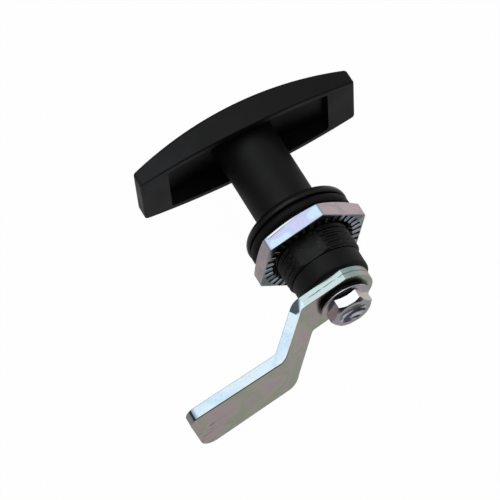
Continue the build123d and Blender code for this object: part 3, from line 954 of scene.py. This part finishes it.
def nut_rows():
    """The nut's outline, from its bore in front round to its slotted rear and the bore again."""
    hex_front = NUT_FRONT + NUT_COLLAR_HEIGHT
    tooth_inner = NUT_BORE + NUT_BORE_BEVEL
    collar_inner = NUT_COLLAR_RADIUS - EDGE_BREAK
    collar_edge = (NUT_COLLAR_RADIUS, NUT_FRONT + EDGE_BREAK)
    rows = [("round", NUT_BORE, NUT_FRONT + NUT_BORE_FRONT_BEVEL)]
    rows.append(("round", NUT_BORE + NUT_BORE_FRONT_BEVEL, NUT_FRONT))
    rows += labelled("round", quarter(
        (collar_inner, NUT_FRONT), collar_edge, (collar_inner, NUT_FRONT + EDGE_BREAK), steps=3))
    rows.append(("round", NUT_COLLAR_RADIUS, hex_front))
    turns = [math.pi / 2 * step / 5 for step in range(6)]
    rounding = [(1 - math.sin(turn), 1 - math.cos(turn)) for turn in turns]
    for inset, rise in rounding:
        rows.append(("front", NUT_EDGE_ROUND * inset, hex_front + NUT_EDGE_ROUND * rise))
    for drop, inset in rounding:
        rows.append(("hex", NUT_EDGE_ROUND * inset, NUT_REAR - NUT_EDGE_ROUND * drop))
    rows += [("slots", TOOTH_OUTER + TOOTH_WALL, NUT_REAR), ("slots", TOOTH_OUTER, NUT_REAR)]
    for share in TOOTH_STEPS:
        rows.append(("slots", tooth_inner + (TOOTH_OUTER - tooth_inner) * share, NUT_REAR))
    rows.append(("slots", tooth_inner - TOOTH_FOOT, NUT_REAR - TOOTH_FOOT))
    rows.append(("round", NUT_BORE, NUT_REAR - NUT_BORE_BEVEL))
    return rows


def make_nut():
    """Hexagon nut with a round collar in front and radial slots behind."""
    rows = nut_rows()
    rear_flat = NUT_FLAT - NUT_EDGE_ROUND
    rear_corner_round = NUT_CORNER_ROUND - NUT_EDGE_ROUND

    def point(row, angle):
        kind, size, place = rows[row]
        if kind == "round":
            return polar(size, angle, place)
        from_corner = angle - math.radians(NUT_ANGLE)
        if kind == "slots":
            limit = hexagon_radius(from_corner, rear_flat, rear_corner_round) - ROW_GAP
            return polar(min(size, limit), angle, min(place, NUT_REAR - tooth_drop(size, angle)))
        radius = hexagon_radius(from_corner, NUT_FLAT - size, NUT_CORNER_ROUND - size)
        if kind == "front":
            place += NUT_FRONT_SLOPE * (radius - NUT_FLAT + size)
        return polar(radius, angle, place)

    piece = turned_piece("mounting_nut_toothed", len(rows), 1200, point, nut_zinc, sharp=35)
    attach(piece, "housing_body")
    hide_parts("mounting_nut")


def bolt_flange_rows():
    """The bolt's outline from its tip along the shank to the top of its flange's rim."""
    rim_inner = BOLT_FLANGE_RADIUS - EDGE_BREAK
    rim_bottom = BOLT_SEAT + EDGE_BREAK
    round_start = BOLT_RIM_TOP - BOLT_RIM_ROUND
    rim_start = (BOLT_FLANGE_RADIUS, rim_bottom)
    rim_end = (BOLT_CONE_RADIUS, BOLT_RIM_TOP)
    rows = [(BOLT_SHANK_RADIUS - BOLT_TIP_BEVEL, BOLT_TIP), (BOLT_SHANK_RADIUS, BOLT_TIP + BOLT_TIP_BEVEL)]
    rows.append((BOLT_SHANK_RADIUS, BOLT_SEAT))
    rows += quarter((rim_inner, BOLT_SEAT), rim_start, (rim_inner, rim_bottom), steps=4)
    rows += quarter((BOLT_FLANGE_RADIUS, round_start), rim_end, (BOLT_CONE_RADIUS, round_start), steps=4)
    return labelled("round", rows)


def bolt_head_rows():
    """The hexagon's outline, from its foot on the cone over its rounded top edge to the flat cap."""
    wall_end = BOLT_TOP - BOLT_TOP_ROUND
    rows = [("foot", BOLT_FOOT_OUT, 0.0), ("foot", 0.0, BOLT_FOOT_RISE), ("foot", 0.0, BOLT_FOOT_TOP)]
    rows += [("hex", 0.0, BOLT_WALL_START + (wall_end - BOLT_WALL_START) * step / 8) for step in range(8)]
    rows += labelled("hex", quarter(
        (0.0, wall_end), (BOLT_TOP_ROUND, BOLT_TOP), (BOLT_TOP_ROUND, wall_end), steps=8))
    return rows + [("cap", BOLT_TOP_ROUND + inset, BOLT_TOP) for inset in BOLT_CAP_STEPS]


def bolt_dish_rows():
    """The outline of the dish in the bolt's top: a rounded lip and a shallow part of a ball."""
    lip_radius = BOLT_DISH_RADIUS + BOLT_LIP_WIDTH
    lip_end = (BOLT_DISH_RADIUS, BOLT_TOP - BOLT_LIP_DROP)
    lip_centre = (lip_radius + BOLT_LIP_CENTRE[0], BOLT_TOP + BOLT_LIP_CENTRE[1])
    rows = quarter((lip_radius, BOLT_TOP), lip_end, lip_centre, steps=4)
    ball_radius = (BOLT_DISH_RADIUS**2 + BOLT_DISH_DEPTH**2) / (2 * BOLT_DISH_DEPTH)
    for step in range(1, BOLT_DISH_STEPS):
        radius = BOLT_DISH_RADIUS * (1 - step / BOLT_DISH_STEPS)
        drop = math.sqrt(ball_radius**2 - radius**2) - (ball_radius - BOLT_DISH_DEPTH)
        rows.append((radius, BOLT_TOP - drop))
    return labelled("round", rows)


def make_bolt():
    """Flanged hexagon bolt with a bevelled and dished top."""
    rows = bolt_flange_rows() + bolt_head_rows() + bolt_dish_rows()

    def point(row, angle):
        kind, size, place = rows[row]
        if kind == "round":
            return polar(size, angle, place)
        from_corner = angle - math.radians(BOLT_ANGLE)
        if kind == "foot":
            radius = hexagon_radius(from_corner, BOLT_FLAT + size, BOLT_CORNER_ROUND)
            rise = (BOLT_CONE_RADIUS - radius) * math.tan(math.radians(BOLT_FLANGE_ANGLE))
            return polar(radius, angle, BOLT_RIM_TOP + rise + place)
        radius = hexagon_radius(from_corner, BOLT_FLAT - size, BOLT_CORNER_ROUND)
        if kind == "cap":
            radius = min(radius, BOLT_BEVEL_START + BOLT_TOP_ROUND - size)
        past_bevel = max(0.0, radius - BOLT_BEVEL_START)
        bevel_drop = past_bevel * math.tan(math.radians(BOLT_BEVEL_ANGLE))
        return polar(radius, angle, min(place, BOLT_TOP - bevel_drop))

    piece = turned_piece("cam_bolt_head", len(rows), 360, point, bolt_zinc, sharp=30, closed=False)
    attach(piece, "rotor")
    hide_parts("cam_bolt")


def round_edges(node, width):
    """Rounds a CAD node's sharp edges by modifiers alone: its triangles are joined to whole faces first."""
    thing = nodes[node]
    weld = thing.modifiers.new("joined_faces", "WELD")
    weld.merge_threshold = JOIN_REACH * MM
    flat = thing.modifiers.new("whole_faces", "DECIMATE")
    flat.decimate_type = "DISSOLVE"
    flat.angle_limit = math.radians(FLAT_TURN)
    edge = thing.modifiers.new("rounded_edges", "BEVEL")
    edge.width = width * MM
    edge.segments = 3
    edge.limit_method = "ANGLE"
    edge.angle_limit = math.radians(SHARP_TURN)
    edge.harden_normals = True
    edge.use_clamp_overlap = False
    flatten_shading(thing)


def dress(node, material):
    """Gives a CAD node its material."""
    mesh = nodes[node].data
    mesh.materials.clear()
    mesh.materials.append(material)


make_housing()
make_nut()
make_bolt()
round_edges("cam", CAM_EDGE_ROUND)
dress("t_handle", black_coat)
dress("stop_collar", black_coat)
dress("flange_gasket", gasket_rubber)
dress("spindle_seal", seal_rubber)
dress("cam", cam_zinc)
dress("spindle", spindle_zinc)
dress("spring_washer", spring_steel)
dress("disc_spring", spring_steel)
dress("retaining_ring", spring_steel)
dress("thrust_washer", white_plastic)


def make_camera():
    """The photograph's camera: a long lens above and beyond the cam's side."""
    azimuth = math.radians(CAMERA_AZIMUTH)
    elevation = math.radians(CAMERA_ELEVATION)
    back = Vector((
        math.sin(azimuth) * math.cos(elevation),
        -math.cos(azimuth) * math.cos(elevation),
        math.sin(elevation),
    ))
    data = bpy.data.cameras.new("camera")
    data.sensor_width = SENSOR_WIDTH
    data.lens = FOCAL_PIXELS / PICTURE_SIZE * SENSOR_WIDTH
    data.clip_start = CAMERA_NEAR
    data.clip_end = CAMERA_FAR
    camera = bpy.data.objects.new("camera", data)
    bpy.context.scene.collection.objects.link(camera)
    camera.rotation_mode = "QUATERNION"
    level = (-back).to_track_quat("-Z", "Y")
    roll = Matrix.Rotation(math.radians(CAMERA_ROLL), 3, back).to_quaternion()
    camera.rotation_quaternion = roll @ level
    camera.location = (Vector(CAMERA_AIM) + back * CAMERA_DISTANCE) * MM
    bpy.context.scene.camera = camera


def by_ray(tree, camera_value, glossy_value, other_value):
    """A value that depends on who looks: the camera, a reflection or anything else."""
    path = tree.nodes.new("ShaderNodeLightPath")
    glossy = add_node(tree, "Mix", Factor=path.outputs["Is Glossy Ray"], A=other_value, B=glossy_value)
    reached = glossy.outputs["Result"]
    seen = add_node(tree, "Mix", Factor=path.outputs["Is Camera Ray"], A=reached, B=camera_value)
    return seen.outputs["Result"]


def make_world():
    """White for the camera; for the part, a sky dark behind, dimmer in front and low, but for one side."""
    world = bpy.data.worlds.new("world")
    bpy.context.scene.world = world
    world.use_nodes = True
    tree = world.node_tree
    direction = tree.nodes.new("ShaderNodeTexCoord").outputs["Generated"]
    rear = remap(tree, along(tree, direction, AXIS), *REAR_SPAN, 1.0, REAR_DARK)
    front = remap(tree, along(tree, direction, FORWARD), *FRONT_SPAN, 1.0, FRONT_DARK)
    high = remap(tree, along(tree, direction, UP), *SKY_HEIGHTS, SKY_LOW, 1.0)
    side = remap(tree, along(tree, direction, OTHER_SIDE), *SKY_SIDE_SPAN, 0.0, SKY_SIDE)
    level = every(tree, rear, front, calc(tree, "MAXIMUM", high, side), SKY_LEVEL)
    background = tree.nodes["Background"]
    background.inputs["Color"].default_value = (1, 1, 1, 1)
    tree.links.new(by_ray(tree, 1.0, level, level), background.inputs["Strength"])


def make_floor_material():
    """White for the camera, a softer grey near the part for reflections, and plain diffuse for light."""
    material = bpy.data.materials.new("floor_white")
    material.use_nodes = True
    tree = material.node_tree
    tree.nodes.clear()
    side = remap(tree, placed(tree, OTHER_SIDE), *FLOOR_SIDE_SPAN, FLOOR_NEAR, FLOOR_FAR)
    rear = remap(tree, placed(tree, AXIS), *FLOOR_REAR_SPAN, 1.0, FLOOR_REAR)
    diffuse = add_node(tree, "BsdfDiffuse", Color=FLOOR_COLOUR)
    glow = add_node(tree, "Emission", Strength=by_ray(tree, 1.0, every(tree, side, rear), 0.0))
    mix = add_node(tree, "MixShader", Fac=by_ray(tree, FLOOR_GLOW_SEEN, FLOOR_GLOW_REFLECTED, 0.0))
    tree.links.new(diffuse.outputs["BSDF"], mix.inputs[1])
    tree.links.new(glow.outputs["Emission"], mix.inputs[2])
    output = tree.nodes.new("ShaderNodeOutputMaterial")
    tree.links.new(mix.outputs["Shader"], output.inputs["Surface"])
    return material


def make_floor():
    """A plain pale floor just below the part."""
    corner_places = [(-FLOOR_HALF, -FLOOR_HALF, 0), (FLOOR_HALF, -FLOOR_HALF, 0),
                     (FLOOR_HALF, FLOOR_HALF, 0), (-FLOOR_HALF, FLOOR_HALF, 0)]
    mesh = bpy.data.meshes.new("floor")
    mesh.from_pydata(corner_places, [], [(0, 1, 2, 3)])
    mesh.materials.append(make_floor_material())
    floor = bpy.data.objects.new("floor", mesh)
    floor.location.z = cad_box[0].z - FLOOR_GAP * MM
    bpy.context.scene.collection.objects.link(floor)


def make_lamp():
    """A square soft lamp above, aimed at the middle of the part."""
    data = bpy.data.lights.new("lamp_above", "AREA")
    data.shape = "SQUARE"
    data.size = LAMP_WIDTH
    data.energy = LAMP_POWER
    data.color = LAMP_COLOUR
    lamp = bpy.data.objects.new("lamp_above", data)
    lamp.location = LAMP_PLACE
    lamp.rotation_mode = "QUATERNION"
    lamp.rotation_quaternion = (-Vector(LAMP_PLACE)).to_track_quat("-Z", "Y")
    bpy.context.scene.collection.objects.link(lamp)


make_camera()
make_world()
make_floor()
make_lamp()
bpy.context.scene.view_settings.view_transform = "Standard"
